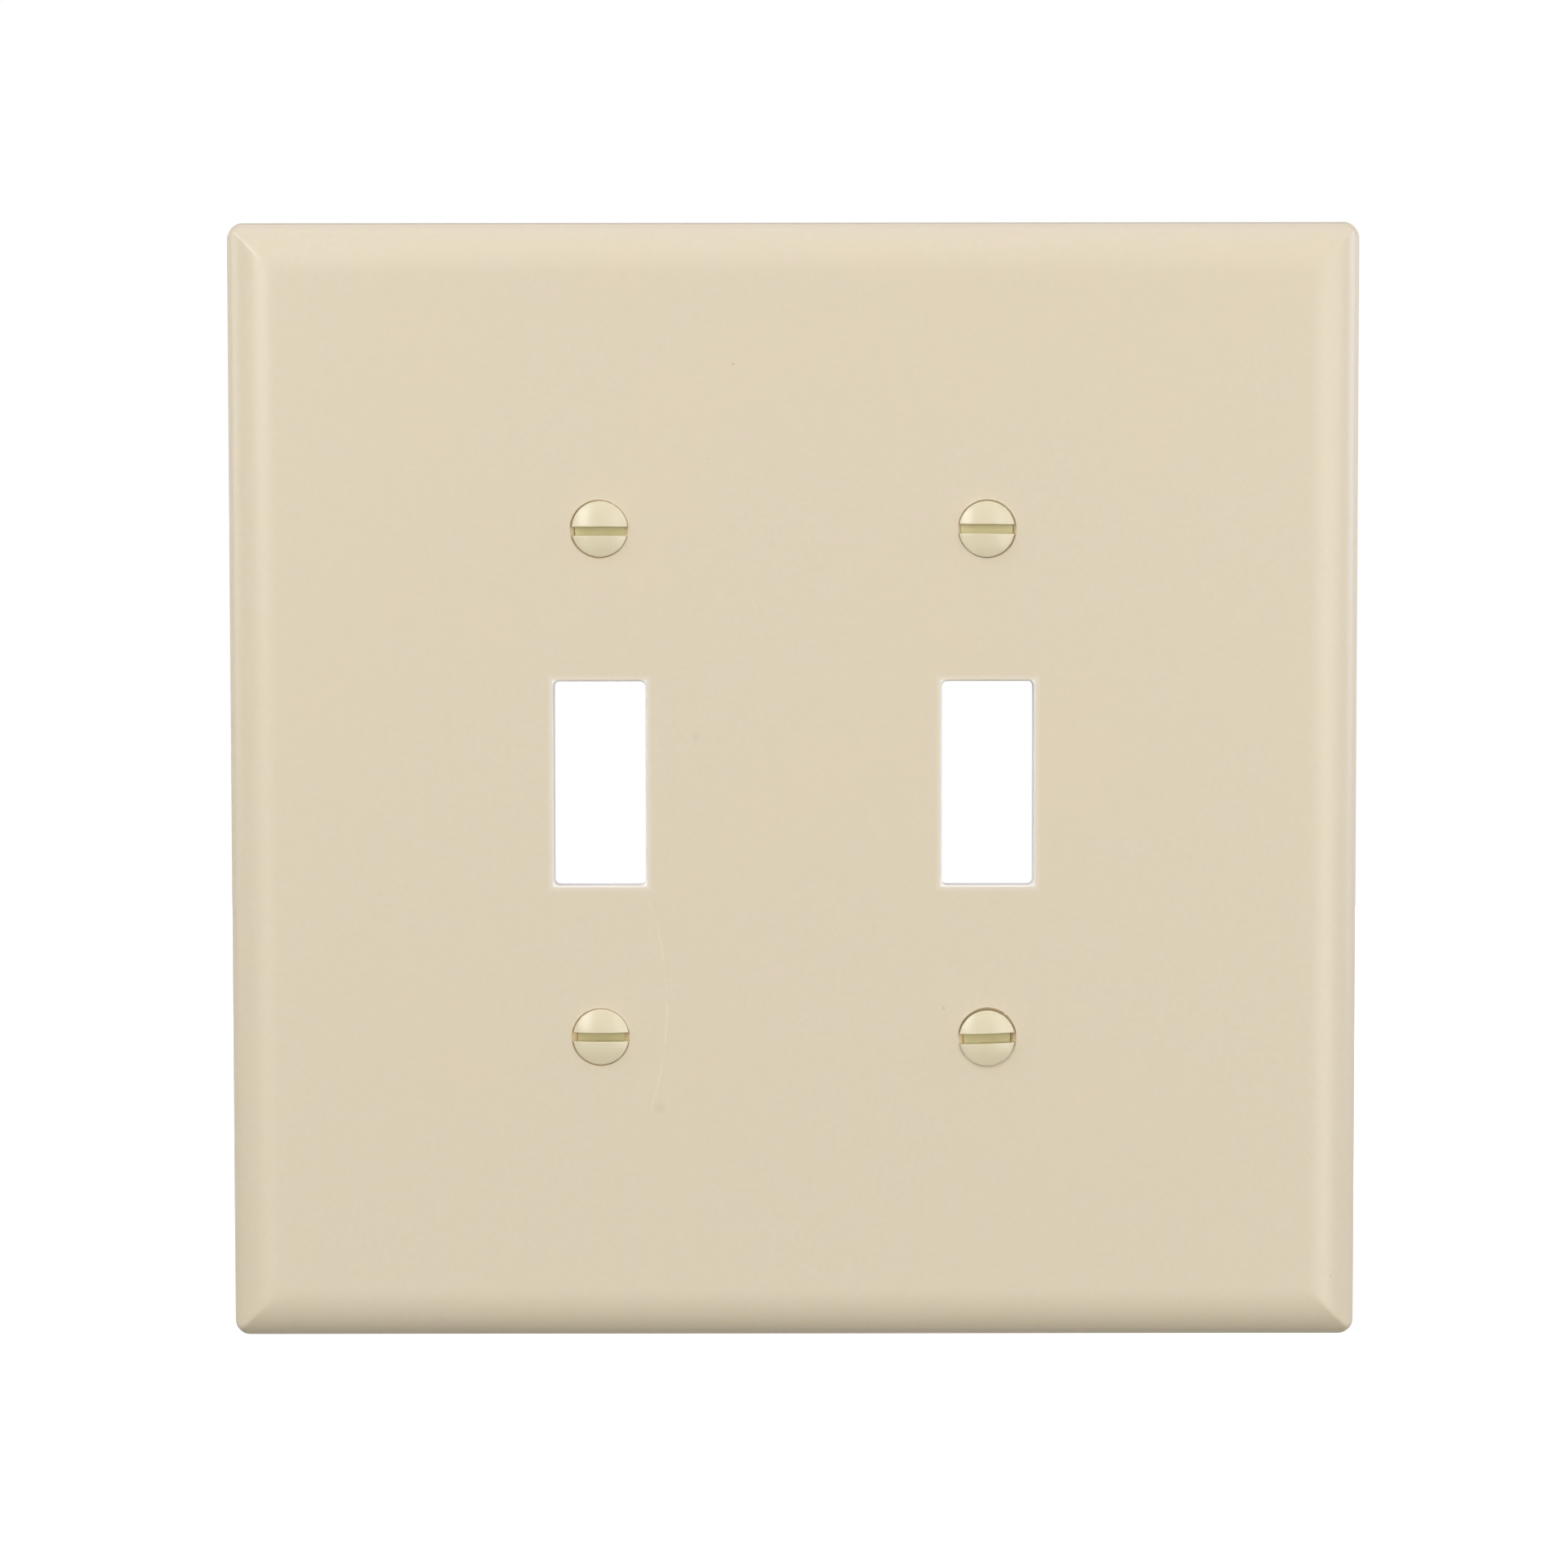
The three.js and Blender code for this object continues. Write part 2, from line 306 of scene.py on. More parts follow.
def outer_profile():
    """(inset, height) pairs from the back rim round to the face."""
    lean = LIP_INSET / LIP_HEIGHT
    pairs = []
    for step in range(4):
        angle = math.radians(30 * step)
        pairs.append((BACK_EDGE * (1 - math.sin(angle)), BACK_EDGE * (1 - math.cos(angle))))
    for step in range(ARC_STEPS + 1):
        angle = LIP_TURN * step / ARC_STEPS
        height = LIP_HEIGHT - LIP_EDGE * (1 - math.sin(angle))
        inset = LIP_INSET if step else lean * height
        pairs.append((inset + LIP_EDGE * (1 - math.cos(angle)), height))
    roll_height = DEPTH - ROLL_BASE
    for step in range(1, ROLL_STEPS + 1):
        angle = ROLL_RISE + (math.pi / 2 - ROLL_RISE) * step / ROLL_STEPS
        across = 1 - math.cos(angle) / math.cos(ROLL_RISE)
        up = (math.sin(angle) - math.sin(ROLL_RISE)) / (1 - math.sin(ROLL_RISE))
        fillet = ROLL_FILLET * (1 - step / ROLL_STEPS) ** 2
        pairs.append((ROLL_START + ROLL_WIDTH * across + fillet, ROLL_BASE + roll_height * up))
    pairs.append((ROLL_START + ROLL_WIDTH + FACE_MARGIN, DEPTH))
    return pairs


def plate_block():
    rings = []
    for inset, height in outer_profile():
        half_x = HALF_WIDTH - inset
        half_z = HALF_HEIGHT - inset
        rings.append(rounded_rectangle(half_x, half_z, corner_radius(inset), height))
    return loft("wall_plate_moulding", rings)


def recess():
    pairs = [(RIM_WIDTH - outset, -rise) for outset, rise in reversed(rounding(RIM_EDGE))]
    roll_base = RECESS_DEPTH - RECESS_ROLL_HEIGHT
    for step in range(RECESS_ROLL_STEPS + 1):
        angle = math.radians(90 * step / RECESS_ROLL_STEPS)
        inset = RIM_WIDTH + RECESS_DRAFT + RECESS_ROLL_WIDTH * (1 - math.cos(angle))
        pairs.append((inset, roll_base + RECESS_ROLL_HEIGHT * math.sin(angle)))
    rings = []
    for inset, height in pairs:
        half_x = HALF_WIDTH - inset
        half_z = HALF_HEIGHT - inset
        rings.append(rounded_rectangle(half_x, half_z, RECESS_CORNER, height))
    return loft("recess", rings)


def standing_profile(setback, edge, fillet, spread):
    """(outset, height) pairs of something that stands on the back of the face: its rounded free
    edge, its sides that spread towards the face, and the fillet at its foot."""
    pairs = []
    for step in range(ARC_STEPS + 1):
        angle = math.radians(90 * step / ARC_STEPS)
        pairs.append((-edge * (1 - math.sin(angle)), setback + edge * (1 - math.cos(angle))))
    for step in range(ARC_STEPS + 1):
        angle = math.radians(FOOT_TURN * step / ARC_STEPS)
        height = RECESS_DEPTH - fillet * (1 - math.sin(angle)) + OVERSHOOT
        pairs.append((spread + fillet * (1 - math.cos(angle)), height))
    pairs.append((spread + fillet, RECESS_DEPTH + SINK))
    return pairs


def boss(centre):
    spread = BOSS_FOOT_RADIUS - BOSS_RADIUS
    pairs = standing_profile(BOSS_SETBACK, BOSS_EDGE, BOSS_FILLET, spread)
    rings = [circle(BOSS_RADIUS + outset, height) for outset, height in pairs]
    return loft("boss", rings, centre)


def collar(centre):
    half_x = TOGGLE_WIDTH / 2 + COLLAR_WALL
    half_z = TOGGLE_HEIGHT / 2 + COLLAR_WALL
    radius = TOGGLE_CORNER + COLLAR_WALL
    rings = []
    for out, height in standing_profile(COLLAR_SETBACK, COLLAR_EDGE, COLLAR_FILLET, COLLAR_DRAFT):
        rings.append(rounded_rectangle(half_x + out, half_z + out, radius + out, height))
    return loft("collar", rings, centre)


def rib(centre, setback, half_length):
    spread = (RIB_FOOT - RIB_CREST) / 2
    rings = []
    for out, height in standing_profile(setback, RIB_EDGE, RIB_FILLET, spread):
        radius = RIB_CREST / 2 - RIB_EDGE / 2 + max(out, 0)
        rings.append(rounded_rectangle(RIB_CREST / 2 + out, half_length, radius, height))
    return loft("rib", rings, centre)


def toggle_opening(centre):
    back_edge = reversed(rounding(TOGGLE_BACK_EDGE))
    back = [(out, COLLAR_SETBACK - rise) for out, rise in back_edge]
    front = [(out, DEPTH + rise) for out, rise in rounding(TOGGLE_EDGE)]
    rings = []
    for out, height in back + front:
        half_x = TOGGLE_WIDTH / 2 + out
        half_z = TOGGLE_HEIGHT / 2 + out
        rings.append(rounded_rectangle(half_x, half_z, TOGGLE_CORNER + out, height))
    return loft("toggle_opening", rings, centre)


def screw_hole(centre):
    slope = math.tan(COUNTERSINK_SLOPE)
    throat = DEPTH - (COUNTERSINK_RADIUS - HOLE_RADIUS) / slope
    back_edge = reversed(rounding(HOLE_EDGE))
    pairs = [(HOLE_RADIUS + out, BOSS_SETBACK - rise) for out, rise in back_edge]
    pairs.append((HOLE_RADIUS, throat))
    cone_turn = math.pi / 2 - COUNTERSINK_SLOPE
    edge_reach = COUNTERSINK_EDGE * math.tan(cone_turn / 2)
    centre_radius = COUNTERSINK_RADIUS + edge_reach
    for step in range(ARC_STEPS + 1):
        angle = cone_turn * (1 - step / ARC_STEPS)
        height = DEPTH - COUNTERSINK_EDGE * (1 - math.cos(angle)) + OVERSHOOT
        pairs.append((centre_radius - COUNTERSINK_EDGE * math.sin(angle), height))
    pairs.append((centre_radius + FLARE, DEPTH + FLARE_RISE))
    pairs.append((centre_radius + FLARE, DEPTH + CLEAR))
    return loft("screw_hole", [circle(radius, height) for radius, height in pairs], centre)


def hole_place(hole):
    error_x, error_z = HOLE_ERRORS[hole]
    return hole[0] * GANG_SPACING / 2 + error_x, hole[1] * SCREW_SPACING / 2 + error_z


def declare(piece, body, node, slot, *materials):
    piece.data.materials.clear()
    for material in materials:
        piece.data.materials.append(material)
    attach(piece, body)
    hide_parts(node)


def lump(hole, bearing, radius, depth, size):
    """A small ellipsoid beside the axis of a hole."""
    mesh = bmesh.new()
    bmesh.ops.create_icosphere(mesh, subdivisions=3, radius=1)
    angle = math.radians(bearing)
    for vertex in mesh.verts:
        tangent = vertex.co.x * size[0]
        outward = vertex.co.y * size[1] + radius
        height = vertex.co.z * size[2] + DEPTH - depth
        x = hole[0] * GANG_SPACING / 2 + outward * math.cos(angle) - tangent * math.sin(angle)
        z = hole[1] * SCREW_SPACING / 2 + outward * math.sin(angle) + tangent * math.cos(angle)
        vertex.co = to_row(x, height, z)
    bmesh.ops.recalc_face_normals(mesh, faces=mesh.faces)
    return from_bmesh("lump", mesh)


def wall_plate():
    plate = plate_block()
    combine(plate, [recess()], "DIFFERENCE")
    gangs = [-GANG_SPACING / 2, GANG_SPACING / 2]
    holes = [hole_place(hole) for hole in HOLE_ERRORS]
    added = [collar((x, 0)) for x in gangs] + [boss(hole) for hole in holes]
    added += [rib((x, 0), COLLAR_SETBACK, SCREW_SPACING / 2) for x in gangs]
    added.append(rib((0, 0), RIB_SETBACK, HALF_HEIGHT - RIM_WIDTH + SINK))
    combine(plate, added, "UNION")
    removed = [toggle_opening((x, 0)) for x in gangs] + [screw_hole(hole) for hole in holes]
    combine(plate, removed, "DIFFERENCE")
    combine(plate, [lump(**speck) for speck in FLASH], "UNION")
    combine(plate, [lump(**PIT)], "DIFFERENCE")
    smooth(plate)
    declare(plate, "plate", "wall_plate", "ivory_plastic", ivory_plastic())


# ---- screws ----

CROWN = HEAD_DOME - HEAD_LAND
DOME_RADIUS = (HEAD_RADIUS**2 + CROWN**2) / (2 * CROWN)
EDGE_HEIGHT = HEAD_DOME - DOME_RADIUS + math.sqrt(
    (DOME_RADIUS - HEAD_EDGE) ** 2 - (HEAD_RADIUS - HEAD_EDGE) ** 2
)
EDGE_ANGLE = math.acos((HEAD_RADIUS - HEAD_EDGE) / (DOME_RADIUS - HEAD_EDGE))
NECK_HEIGHT = -HEAD_SEAT - (HEAD_RADIUS - NECK_RADIUS) / math.tan(COUNTERSINK_SLOPE)


def dome_height(radius):
    """Of the top of the head above its rim: a sphere with a rounded border."""
    if radius >= HEAD_RADIUS:
        return EDGE_HEIGHT
    sphere_end = DOME_RADIUS * math.cos(EDGE_ANGLE)
    if radius > sphere_end:
        along = radius - (HEAD_RADIUS - HEAD_EDGE)
        return EDGE_HEIGHT + math.sqrt(HEAD_EDGE**2 - along**2)
    return HEAD_DOME - DOME_RADIUS + math.sqrt(DOME_RADIUS**2 - radius**2)


def thread_radius(angle, height):
    """A 60 degree right-hand thread that runs out at the neck and is chamfered at the tip."""
    phase = (height / THREAD_PITCH - angle / (2 * math.pi)) % 1
    from_crest = abs(phase - 0.5)
    ridge = min(max((THREAD_CREST + THREAD_FLANK - from_crest) / THREAD_FLANK, 0), 1)
    ridge = ridge * ridge * (3 - 2 * ridge)
    runout = min(max((NECK_HEIGHT - NECK_LENGTH - height) / THREAD_RUNOUT, 0), 1)
    root = THREAD_ROOT + (NECK_RADIUS - THREAD_ROOT) * (1 - runout)
    radius = root + (THREAD_RADIUS - root) * ridge * runout
    return min(radius, TIP_RADIUS + height + SCREW_LENGTH)


def shank_rings():
    count = round((SCREW_LENGTH + NECK_HEIGHT) / THREAD_PITCH * THREAD_STEPS)
    rings = []
    for step in range(count):
        height = -SCREW_LENGTH + (SCREW_LENGTH + NECK_HEIGHT) * step / count
        ring = []
        for x, _, z in circle(1, 0):
            radius = thread_radius(math.atan2(z, x), height)
            ring.append((radius * x, height, radius * z))
        rings.append(ring)
    rings.append(circle(NECK_RADIUS, NECK_HEIGHT))
    return rings


def head_rings():
    rings = [circle(HEAD_RADIUS, -HEAD_SEAT)]
    for step in range(ARC_STEPS + 1):
        angle = EDGE_ANGLE * step / ARC_STEPS
        radius = HEAD_RADIUS - HEAD_EDGE * (1 - math.cos(angle))
        rings.append(circle(radius, EDGE_HEIGHT + HEAD_EDGE * math.sin(angle)))
    sphere_end = DOME_RADIUS * math.cos(EDGE_ANGLE)
    for step in range(1, DOME_STEPS + 1):
        radius = sphere_end * (1 - step / (DOME_STEPS + 1))
        rings.append(circle(radius, dome_height(radius)))
    return rings


def slot_section(along, slot):
    """The slot cutter's outline across the slot, at some distance along it."""
    floor = HEAD_DOME - slot["depth"]
    section = []
    for side in (1, -1):
        wall = slot["miss"] + side * slot["width"] / 2
        top = dome_height(math.hypot(along, wall))
        half = []
        for step in range(ARC_STEPS + 1):
            angle = math.radians(90 * step / ARC_STEPS)
            across = wall - side * SLOT_FILLET * (1 - math.sin(angle))
            half.append((across, floor + SLOT_FILLET * (1 - math.cos(angle))))
        for step in range(ARC_STEPS + 1):
            angle = math.radians(90 * step / ARC_STEPS)
            across = wall + side * SLOT_EDGE * (1 - math.cos(angle))
            half.append((across, top - SLOT_EDGE * (1 - math.sin(angle))))
        outermost = wall + side * (SLOT_EDGE + SLOT_FLARE)
        half.append((outermost, top + 2 * SLOT_FLARE))
        half.append((outermost, HEAD_DOME + CLEAR))
        section += half if side == 1 else list(reversed(half))
    return [(along, height, across) for across, height in section]


def slot_cutter(slot):
    reach = HEAD_RADIUS + CLEAR / 2
    places = [reach * (2 * step / SLOT_STEPS - 1) for step in range(SLOT_STEPS + 1)]
    return loft("slot", [slot_section(along, slot) for along in places])


def finish_at(point, slot):
    """Which of the screw's materials is at a point: paint, the slot's enamel darkened as painted
    shade, or steel.
    """
    height = -point.y
    if height < -PAINT_REACH:
        return 2
    in_width = abs(point.z - slot["miss"]) < slot["width"] / 2 + PAINT_MARGIN
    below_edge = height < dome_height(math.hypot(point.x, point.z)) - SLOT_EDGE
    return int(in_width and below_edge)


def screw(body):
    joint = joints[body]
    slot = SLOTS[body]
    node = next(iter(frame["record"]["behaviour"]["bodies"][body]))
    made = loft(node + "_detailed", shank_rings() + head_rings())
    combine(made, [slot_cutter(slot)], "DIFFERENCE")
    smooth(made)
    # the second material is the slot's enamel, darkened as painted shade
    declare(made, body, node, "ivory_paint", ivory_paint(), painted_shade_slot_enamel(), plated_steel())
    for polygon in made.data.polygons:
        polygon.material_index = finish_at(polygon.center / MM, slot)
    turn = Matrix.Rotation(math.radians(-slot["turn"]), 4, "Y")
    made.data.transform(Matrix.Translation(Vector(joint["pos_m"])) @ turn)


# ---- materials ----

SPECK_COLOUR = (0.24, 0.2, 0.12)
SCRATCH_COLOUR = (0.86, 0.77, 0.62)
# painted light: a warm glow painted on the countersink walls
PAINTED_COUNTERSINK_GLOW = (0.79, 0.615, 0.36)
# painted light: a paler colour painted round and inside the toggle openings
PAINTED_OPENING_LIGHT = (0.93, 0.88, 0.8)
PAINTED_OPENING_SHARE = 0.35  # of that painted light at the border of an opening


class Nodes:
    """A short way to build a material's node tree."""

    def __init__(self, name):
        self.material = bpy.data.materials.new(name)
        self.material.use_nodes = True
        self.tree = self.material.node_tree
        self.tree.nodes.clear()
        self.shader = self.add("BsdfPrincipled")
        output = self.add("OutputMaterial")
        self.link(self.shader.outputs[0], output.inputs["Surface"])
        coordinates = self.add("TexCoord")
        scaled = self.add("Mapping")
        scaled.inputs["Scale"].default_value = (1 / MM,) * 3
        self.link(coordinates.outputs["Object"], scaled.inputs["Vector"])
        self.millimetres = scaled.outputs["Vector"]

    def add(self, kind):
        return self.tree.nodes.new("ShaderNode" + kind)

    def link(self, source, target):
        self.tree.links.new(source, target)

    def give(self, value, socket):
        """Sets a socket to a constant, or links another socket to it."""
        if isinstance(value, bpy.types.NodeSocket):
            self.link(value, socket)
        else:
            socket.default_value = value

    def axis(self, name):
        """The position along X, Y or Z in millimetres."""
        split = self.add("SeparateXYZ")
        self.link(self.millimetres, split.inputs[0])
        return split.outputs[name]

    def noise(self, size, detail=2.0):
        """Noise whose features are about size millimetres across."""
        node = self.add("TexNoise")
        node.inputs["Scale"].default_value = 1 / size
        node.inputs["Detail"].default_value = detail
        self.link(self.millimetres, node.inputs["Vector"])
        return node.outputs["Fac"]

    def spread(self, value, low, high, to_low=0.0, to_high=1.0):
        """value between low and high, spread from to_low to to_high and held there."""
        node = self.add("MapRange")
        node.inputs["From Min"].default_value = low
        node.inputs["From Max"].default_value = high
        node.inputs["To Min"].default_value = to_low
        node.inputs["To Max"].default_value = to_high
        self.link(value, node.inputs["Value"])
        return node.outputs["Result"]

    def math(self, operation, *values):
        node = self.add("Math")
        node.operation = operation
        for socket, value in zip(node.inputs, values):
            self.give(value, socket)
        return node.outputs[0]

    def mix(self, share, first, second):
        """A colour from first, where share is 0, to second, where it is 1."""
        node = self.add("Mix")
        node.data_type = "RGBA"
        self.link(share, node.inputs["Factor"])
        for name, value in (("A", first), ("B", second)):
            socket = next(s for s in node.inputs if s.name == name and s.type == "RGBA")
            self.give((*value, 1) if isinstance(value, tuple) else value, socket)
        return next(s for s in node.outputs if s.type == "RGBA")

    def distance_from(self, middle):
        """The distance in millimetres from a line square to the wall."""
        flat = self.add("VectorMath")
        flat.operation = "MULTIPLY"
        flat.inputs[1].default_value = (1, 0, 1)
        self.link(self.millimetres, flat.inputs[0])
        distance = self.add("VectorMath")
        distance.operation = "DISTANCE"
        distance.inputs[1].default_value = (middle[0], 0, middle[1])
        self.link(flat.outputs["Vector"], distance.inputs[0])
        return distance.outputs["Value"]

    def bump(self, height, depth, below=None):
        """A bump whose height of 1 stands for depth millimetres."""
        node = self.add("Bump")
        node.inputs["Distance"].default_value = depth * MM
        self.link(height, node.inputs["Height"])
        if below is not None:
            self.link(below, node.inputs["Normal"])
        return node.outputs["Normal"]


def on_front(nodes):
    """1 on the face and the rolled edge, 0 on the back and the sides."""
    return nodes.spread(nodes.axis("Y"), -LIP_HEIGHT - 0.4, -LIP_HEIGHT - 0.3, 1, 0)


def specks(nodes, colour, front):
    """Small dark specks in the moulding."""
    for middle, radius, strength in SPECKS:
        share = nodes.spread(nodes.distance_from(middle), radius * 0.3, radius, strength, 0)
        colour = nodes.mix(nodes.math("MULTIPLY", share, front), colour, SPECK_COLOUR)
    return colour


def scratch(nodes, front):
    """Where a faint hairline arc runs down the face, broken here and there."""
    off = nodes.math("SUBTRACT", nodes.distance_from(SCRATCH_CENTRE), SCRATCH_RADIUS)
    off = nodes.math("ABSOLUTE", off)
    line = nodes.spread(off, 0.2 * SCRATCH_WIDTH, SCRATCH_WIDTH, 1, 0)
    reach = nodes.spread(nodes.axis("X"), *SCRATCH_FADE)
    broken = nodes.spread(nodes.noise(2.5), 0.35, 0.6)
    line = nodes.math("MULTIPLY", nodes.math("MULTIPLY", line, reach), broken)
    return nodes.math("MULTIPLY", line, front)


def paint_countersink_glow(nodes, colour, front):
    """The walls of the screw holes, painted a warmer colour: painted light that stands in for
    light passing through the plastic and coming out there, and for the warm bounce in the
    shadowed gap round each screw head."""
    nearest = None
    for hole in HOLE_ERRORS:
        distance = nodes.distance_from(hole_place(hole))
        nearest = distance if nearest is None else nodes.math("MINIMUM", nearest, distance)
    inside = nodes.spread(nearest, COUNTERSINK_RADIUS, COUNTERSINK_RADIUS + 0.1, 1, 0)
    below_face = nodes.spread(nodes.axis("Y"), -DEPTH + 0.02, -DEPTH + 0.15)
    share = nodes.math("MULTIPLY", nodes.math("MULTIPLY", inside, below_face), front)
    return nodes.mix(share, colour, PAINTED_COUNTERSINK_GLOW)


def paint_opening_light(nodes, colour):
    """The borders and walls of the toggle openings, painted lighter: painted light that stands in
    for light coming through the plastic there.
    """
    across = nodes.math("ABSOLUTE", nodes.axis("X"))
    across = nodes.math("ABSOLUTE", nodes.math("SUBTRACT", across, GANG_SPACING / 2))
    along = nodes.math("ABSOLUTE", nodes.axis("Z"))
    past_side = nodes.math("SUBTRACT", across, TOGGLE_WIDTH / 2)
    past_end = nodes.math("SUBTRACT", along, TOGGLE_HEIGHT / 2)
    outside = nodes.math("MAXIMUM", past_side, past_end)
    border = nodes.spread(outside, 0, PAINTED_OPENING_REACH, PAINTED_OPENING_SHARE, 0)
    wall = nodes.spread(outside, 0.05, TOGGLE_EDGE, 1, 0)
    share = nodes.math("MAXIMUM", border, wall)
    front = nodes.spread(nodes.axis("Y"), -COLLAR_SETBACK - 0.5, -COLLAR_SETBACK, 1, 0)
    return nodes.mix(nodes.math("MULTIPLY", share, front), colour, PAINTED_OPENING_LIGHT)


def ivory_plastic():
    """Moulded ivory plastic: faintly mottled, with a fine matt grain and a few marks of use, and
    with painted light on the countersink walls and round the toggle openings.
    """
    nodes = Nodes("ivory_plastic")
    front = on_front(nodes)
    mottle = nodes.spread(nodes.noise(0.7), 0.35, 0.65)
    blotches = nodes.spread(nodes.noise(3.0, detail=3), 0.3, 0.7)
    clouds = nodes.spread(nodes.noise(22.0), 0.3, 0.7)
    pinker = nodes.mix(mottle, (0.724, 0.618, 0.459), (0.74, 0.63, 0.469))
    yellower = nodes.mix(mottle, (0.715, 0.627, 0.449), (0.731, 0.64, 0.46))
    colour = nodes.mix(blotches, pinker, yellower)
    colour = nodes.mix(nodes.math("MULTIPLY", clouds, 0.5), colour, (0.735, 0.633, 0.446))
    colour = specks(nodes, colour, front)
    # painted glow on the countersink walls
    colour = paint_countersink_glow(nodes, colour, front)
    # painted light round the toggle openings
    colour = paint_opening_light(nodes, colour)
    mark = scratch(nodes, front)
    colour = nodes.mix(nodes.math("MULTIPLY", mark, 0.35), colour, SCRATCH_COLOUR)
    nodes.link(colour, nodes.shader.inputs["Base Color"])
    grain = nodes.noise(0.35)
    roughness = nodes.spread(grain, 0.2, 0.8, 0.285, 0.345)
    roughness = nodes.math("ADD", roughness, nodes.math("MULTIPLY", mark, 0.1))
    nodes.link(roughness, nodes.shader.inputs["Roughness"])
    peel = nodes.bump(nodes.noise(2.2), 0.006)
    fine = nodes.bump(grain, 0.0015, peel)
    groove = nodes.bump(nodes.math("MULTIPLY", mark, -1), 0.004, fine)
    nodes.link(groove, nodes.shader.inputs["Normal"])
    return nodes.material


def enamel(name, first, second, smoothest, roughest):
    nodes = Nodes(name)
    clouds = nodes.noise(1.4, detail=3)
    colour = nodes.mix(nodes.spread(clouds, 0.3, 0.7), first, second)
    nodes.link(colour, nodes.shader.inputs["Base Color"])
    ripple = nodes.noise(0.5)
    roughness = nodes.spread(ripple, 0.2, 0.8, smoothest, roughest)
    nodes.link(roughness, nodes.shader.inputs["Roughness"])
    nodes.link(nodes.bump(ripple, 0.002), nodes.shader.inputs["Normal"])
    nodes.shader.inputs["Specular IOR Level"].default_value = 0.6
    return nodes.material


def ivory_paint():
    """Gloss enamel on a steel head, a little yellower than the plate."""
    return enamel("ivory_paint", (0.73, 0.644, 0.428), (0.75, 0.659, 0.448), 0.2, 0.265)


def painted_shade_slot_enamel():
    """The same enamel in the slot, darker, more olive and rougher: the darker colour is painted
    shade for the slot's hollow.
    """
    return enamel("painted_shade_slot_enamel", (0.6, 0.53, 0.27), (0.64, 0.57, 0.31), 0.3, 0.45)


def plated_steel():
    """Zinc-plated steel, on the part of a screw that the paint does not reach."""
    nodes = Nodes("plated_steel")
    clouds = nodes.noise(0.8, detail=4)
    colour = nodes.mix(nodes.spread(clouds, 0.3, 0.7), (0.5, 0.5, 0.49), (0.66, 0.65, 0.62))
    nodes.link(colour, nodes.shader.inputs["Base Color"])
    nodes.shader.inputs["Metallic"].default_value = 1.0
    nodes.link(nodes.spread(clouds, 0.2, 0.8, 0.28, 0.45), nodes.shader.inputs["Roughness"])
    nodes.link(nodes.bump(nodes.noise(0.15), 0.001), nodes.shader.inputs["Normal"])
    return nodes.material


# ---- studio ----

FACE_CENTRE = Vector(((plate_low.x + plate_high.x) / 2, plate_low.y, 0))
CAMERA_DISTANCE = 0.5
CAMERA_RISE = math.radians(3.0)
CAMERA_ROLL = math.radians(0.066)
CAMERA_LENS = 96.75
AIM_LEFT = 0.00115
AIM_DOWN = 0.00006


def camera():
    data = bpy.data.cameras.new("camera")
    data.lens = CAMERA_LENS
    data.sensor_width = 36
    data.clip_start = 0.01
    data.clip_end = 100
    made = bpy.data.objects.new("camera", data)
    aim = FACE_CENTRE - Vector((AIM_LEFT, 0, AIM_DOWN))
    back = Vector((0, -math.cos(CAMERA_RISE), math.sin(CAMERA_RISE)))
    turn = (-back).to_track_quat("-Z", "Y").to_matrix().to_4x4()
    roll = Matrix.Rotation(-CAMERA_ROLL, 4, "Z")
    made.matrix_world = Matrix.Translation(aim + back * CAMERA_DISTANCE) @ turn @ roll
    bpy.context.scene.collection.objects.link(made)
    bpy.context.scene.camera = made


def soft_light(name, azimuth, elevation, distance, size, power, colour=(1, 1, 1)):
    """A soft light that faces the plate."""
    data = bpy.data.lights.new(name, "AREA")
    data.shape = "RECTANGLE"
    data.size, data.size_y = size
    data.energy = power
    data.color = colour
    made = bpy.data.objects.new(name, data)
    a, e = math.radians(azimuth), math.radians(elevation)
    away = Vector((math.sin(a) * math.cos(e), -math.cos(a) * math.cos(e), math.sin(e)))
    turn = (-away).to_track_quat("-Z", "Y").to_matrix().to_4x4()
    made.matrix_world = Matrix.Translation(FACE_CENTRE + away * distance) @ turn
    bpy.context.scene.collection.objects.link(made)


COOL = (0.96, 1.02, 1.33)  # colour of the fill from above and from the side

# Each soft light: its name, azimuth to the right of the front and elevation in degrees, distance,
# width and height, power in watts, and its colour if it isn't white.
LIGHTS = [
    ("overhead", 0, 85, 0.9, (0.8, 0.4), 1.0, COOL),
    ("upper left", -60, 40, 0.9, (0.2, 0.2), 1.25, COOL),
    ("high", 0, 50, 0.9, (0.6, 0.3), 0.46),
    ("top", 0, 35, 0.9, (0.6, 0.4), 0.27),
    ("front", 0, 0, 1.2, (1.2, 1.2), 2.7),
    ("left", -30, 21, 0.9, (0.25, 0.5), 1.72),
    ("left tall", -28, 5, 0.9, (0.25, 1.0), 1.23),
    ("far left", -85, 15, 0.9, (0.4, 0.6), 1.85),
    ("right", 25, 16, 0.9, (0.25, 0.5), 0.87),
    ("right low", 34, -10, 0.9, (0.3, 0.5), 1.54),
    ("right middle", 48, 16, 0.9, (0.3, 0.5), 1.09),
    ("low", 0, -35, 0.9, (0.8, 0.6), 0.62),
    ("far right", 88, 15, 0.9, (0.4, 0.6), 2.65, COOL),
]
SKY = 0.094  # strength of the light from straight above; from straight below it is 0
BACKDROP = 0.65  # strength of the light from behind the plate


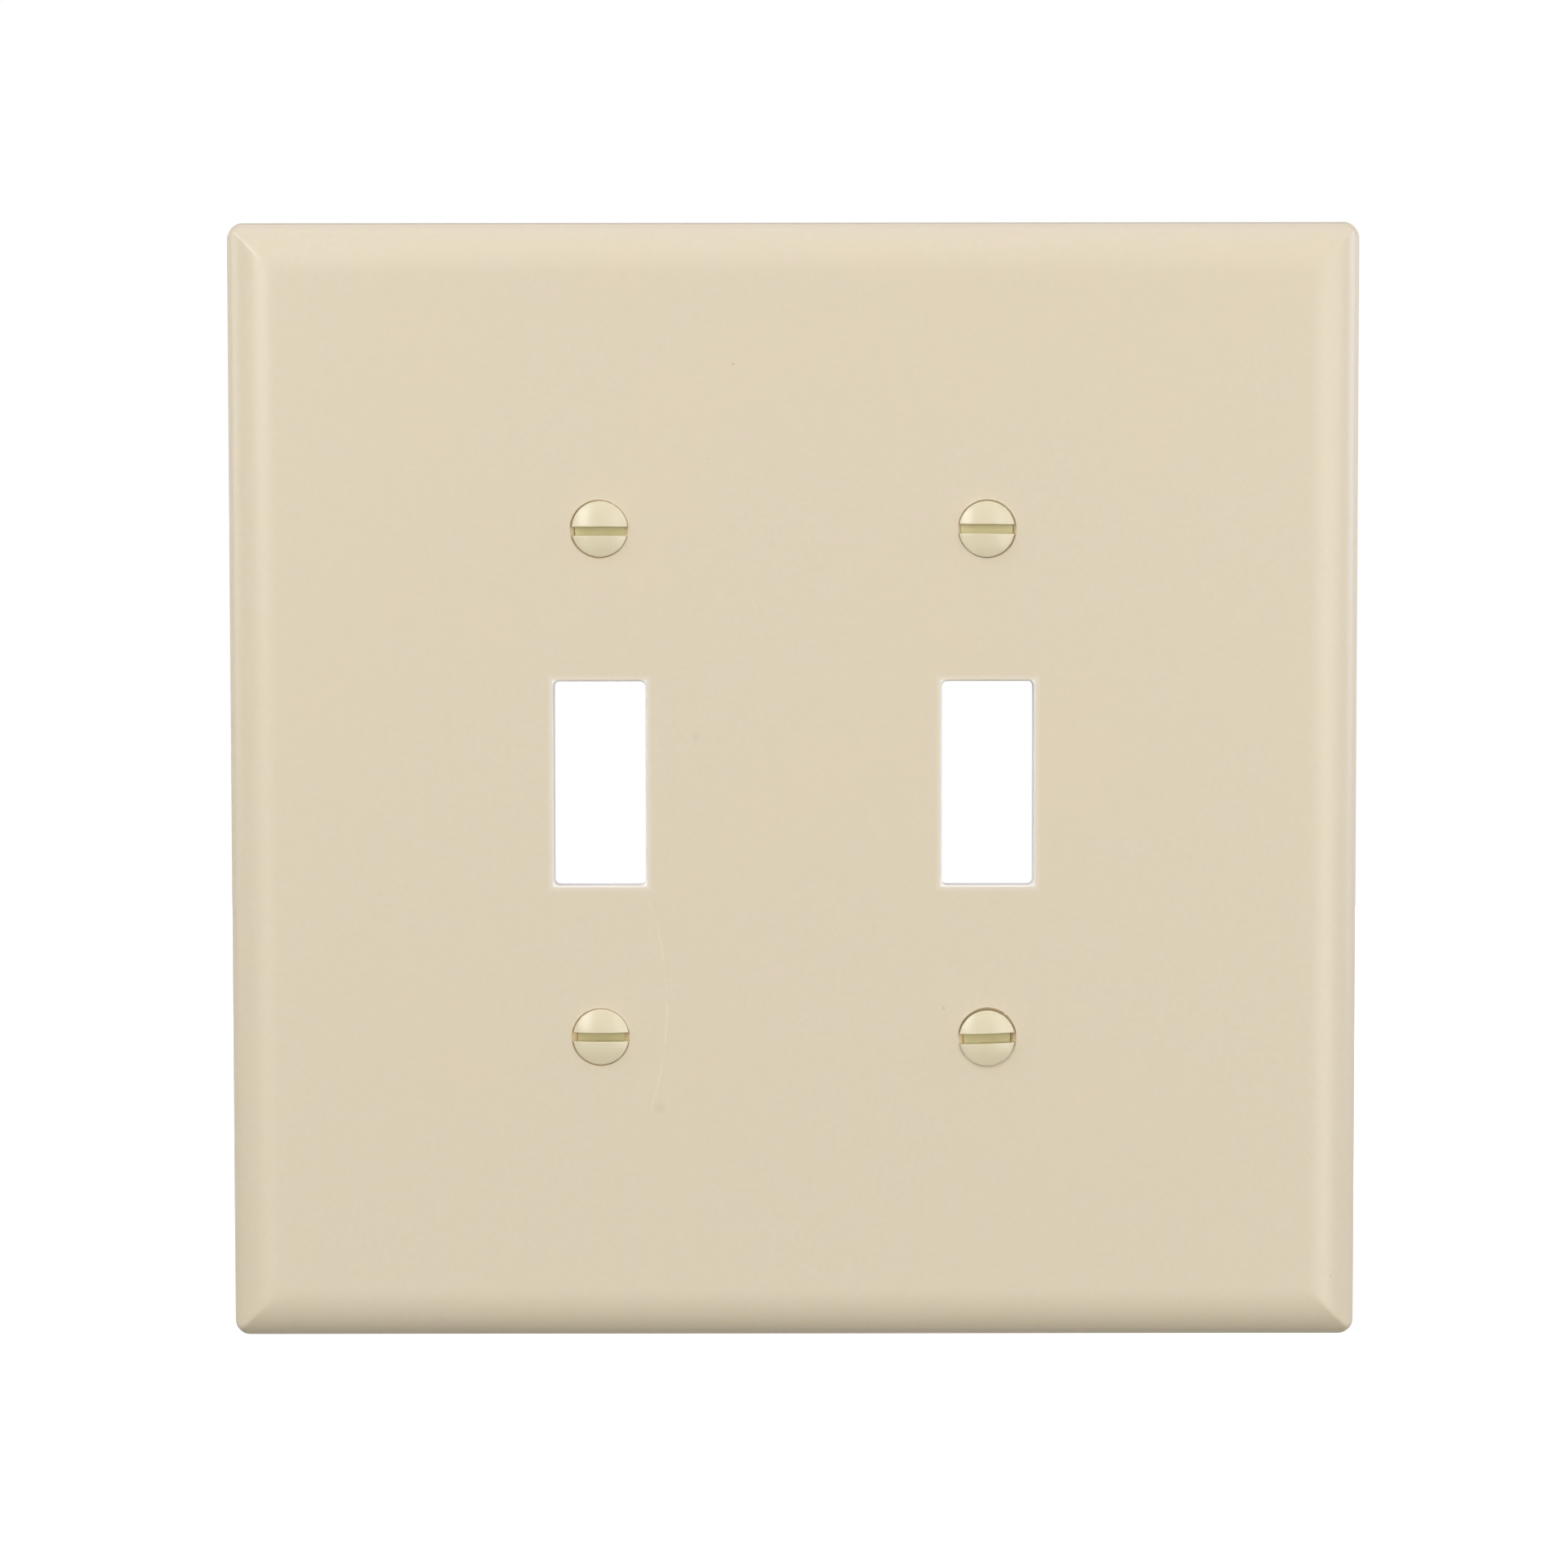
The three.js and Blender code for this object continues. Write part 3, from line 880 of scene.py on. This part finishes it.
def surroundings():
    """White to the camera; as light, brighter from above, and brightest from the backdrop."""
    world = bpy.data.worlds.new("studio")
    bpy.context.scene.world = world
    world.use_nodes = True
    tree = world.node_tree
    tree.nodes.clear()
    direction = tree.nodes.new("ShaderNodeTexCoord")
    split = tree.nodes.new("ShaderNodeSeparateXYZ")
    above = tree.nodes.new("ShaderNodeMapRange")
    above.inputs["From Min"].default_value = -1
    above.inputs["To Max"].default_value = SKY
    behind = tree.nodes.new("ShaderNodeMapRange")
    behind.inputs["From Min"].default_value = -0.1
    behind.inputs["From Max"].default_value = 0.4
    behind.inputs["To Max"].default_value = BACKDROP
    total = tree.nodes.new("ShaderNodeMath")
    lighting = tree.nodes.new("ShaderNodeBackground")
    seen = tree.nodes.new("ShaderNodeBackground")
    seen.inputs["Color"].default_value = (1, 1, 1, 1)
    path = tree.nodes.new("ShaderNodeLightPath")
    choice = tree.nodes.new("ShaderNodeMixShader")
    output = tree.nodes.new("ShaderNodeOutputWorld")
    tree.links.new(direction.outputs["Generated"], split.inputs[0])
    tree.links.new(split.outputs["Z"], above.inputs["Value"])
    tree.links.new(split.outputs["Y"], behind.inputs["Value"])
    tree.links.new(above.outputs["Result"], total.inputs[0])
    tree.links.new(behind.outputs["Result"], total.inputs[1])
    tree.links.new(total.outputs[0], lighting.inputs["Strength"])
    tree.links.new(path.outputs["Is Camera Ray"], choice.inputs[0])
    tree.links.new(lighting.outputs[0], choice.inputs[1])
    tree.links.new(seen.outputs[0], choice.inputs[2])
    tree.links.new(choice.outputs[0], output.inputs["Surface"])


FLOOR_DROP = 0.5
FLOOR_RADIUS = 6.0


def floor():
    """A white floor far below, which fades into the white background and lights nothing."""
    mesh = bmesh.new()
    bmesh.ops.create_circle(mesh, cap_ends=True, segments=ROUND_STEPS, radius=FLOOR_RADIUS)
    made = from_bmesh("floor", mesh)
    made.location.z = -FLOOR_DROP
    made.visible_diffuse = False
    made.visible_glossy = False
    material = bpy.data.materials.new("floor")
    material.use_nodes = True
    shader = material.node_tree.nodes["Principled BSDF"]
    shader.inputs["Base Color"].default_value = (0.9, 0.9, 0.9, 1)
    shader.inputs["Roughness"].default_value = 0.8
    shader.inputs["Emission Color"].default_value = (1, 1, 1, 1)
    shader.inputs["Emission Strength"].default_value = 1.0
    made.data.materials.append(material)


camera()
surroundings()
for light in LIGHTS:
    soft_light(*light)
floor()
bpy.context.scene.view_settings.view_transform = "Standard"

wall_plate()
for name in SLOTS:
    screw(name)
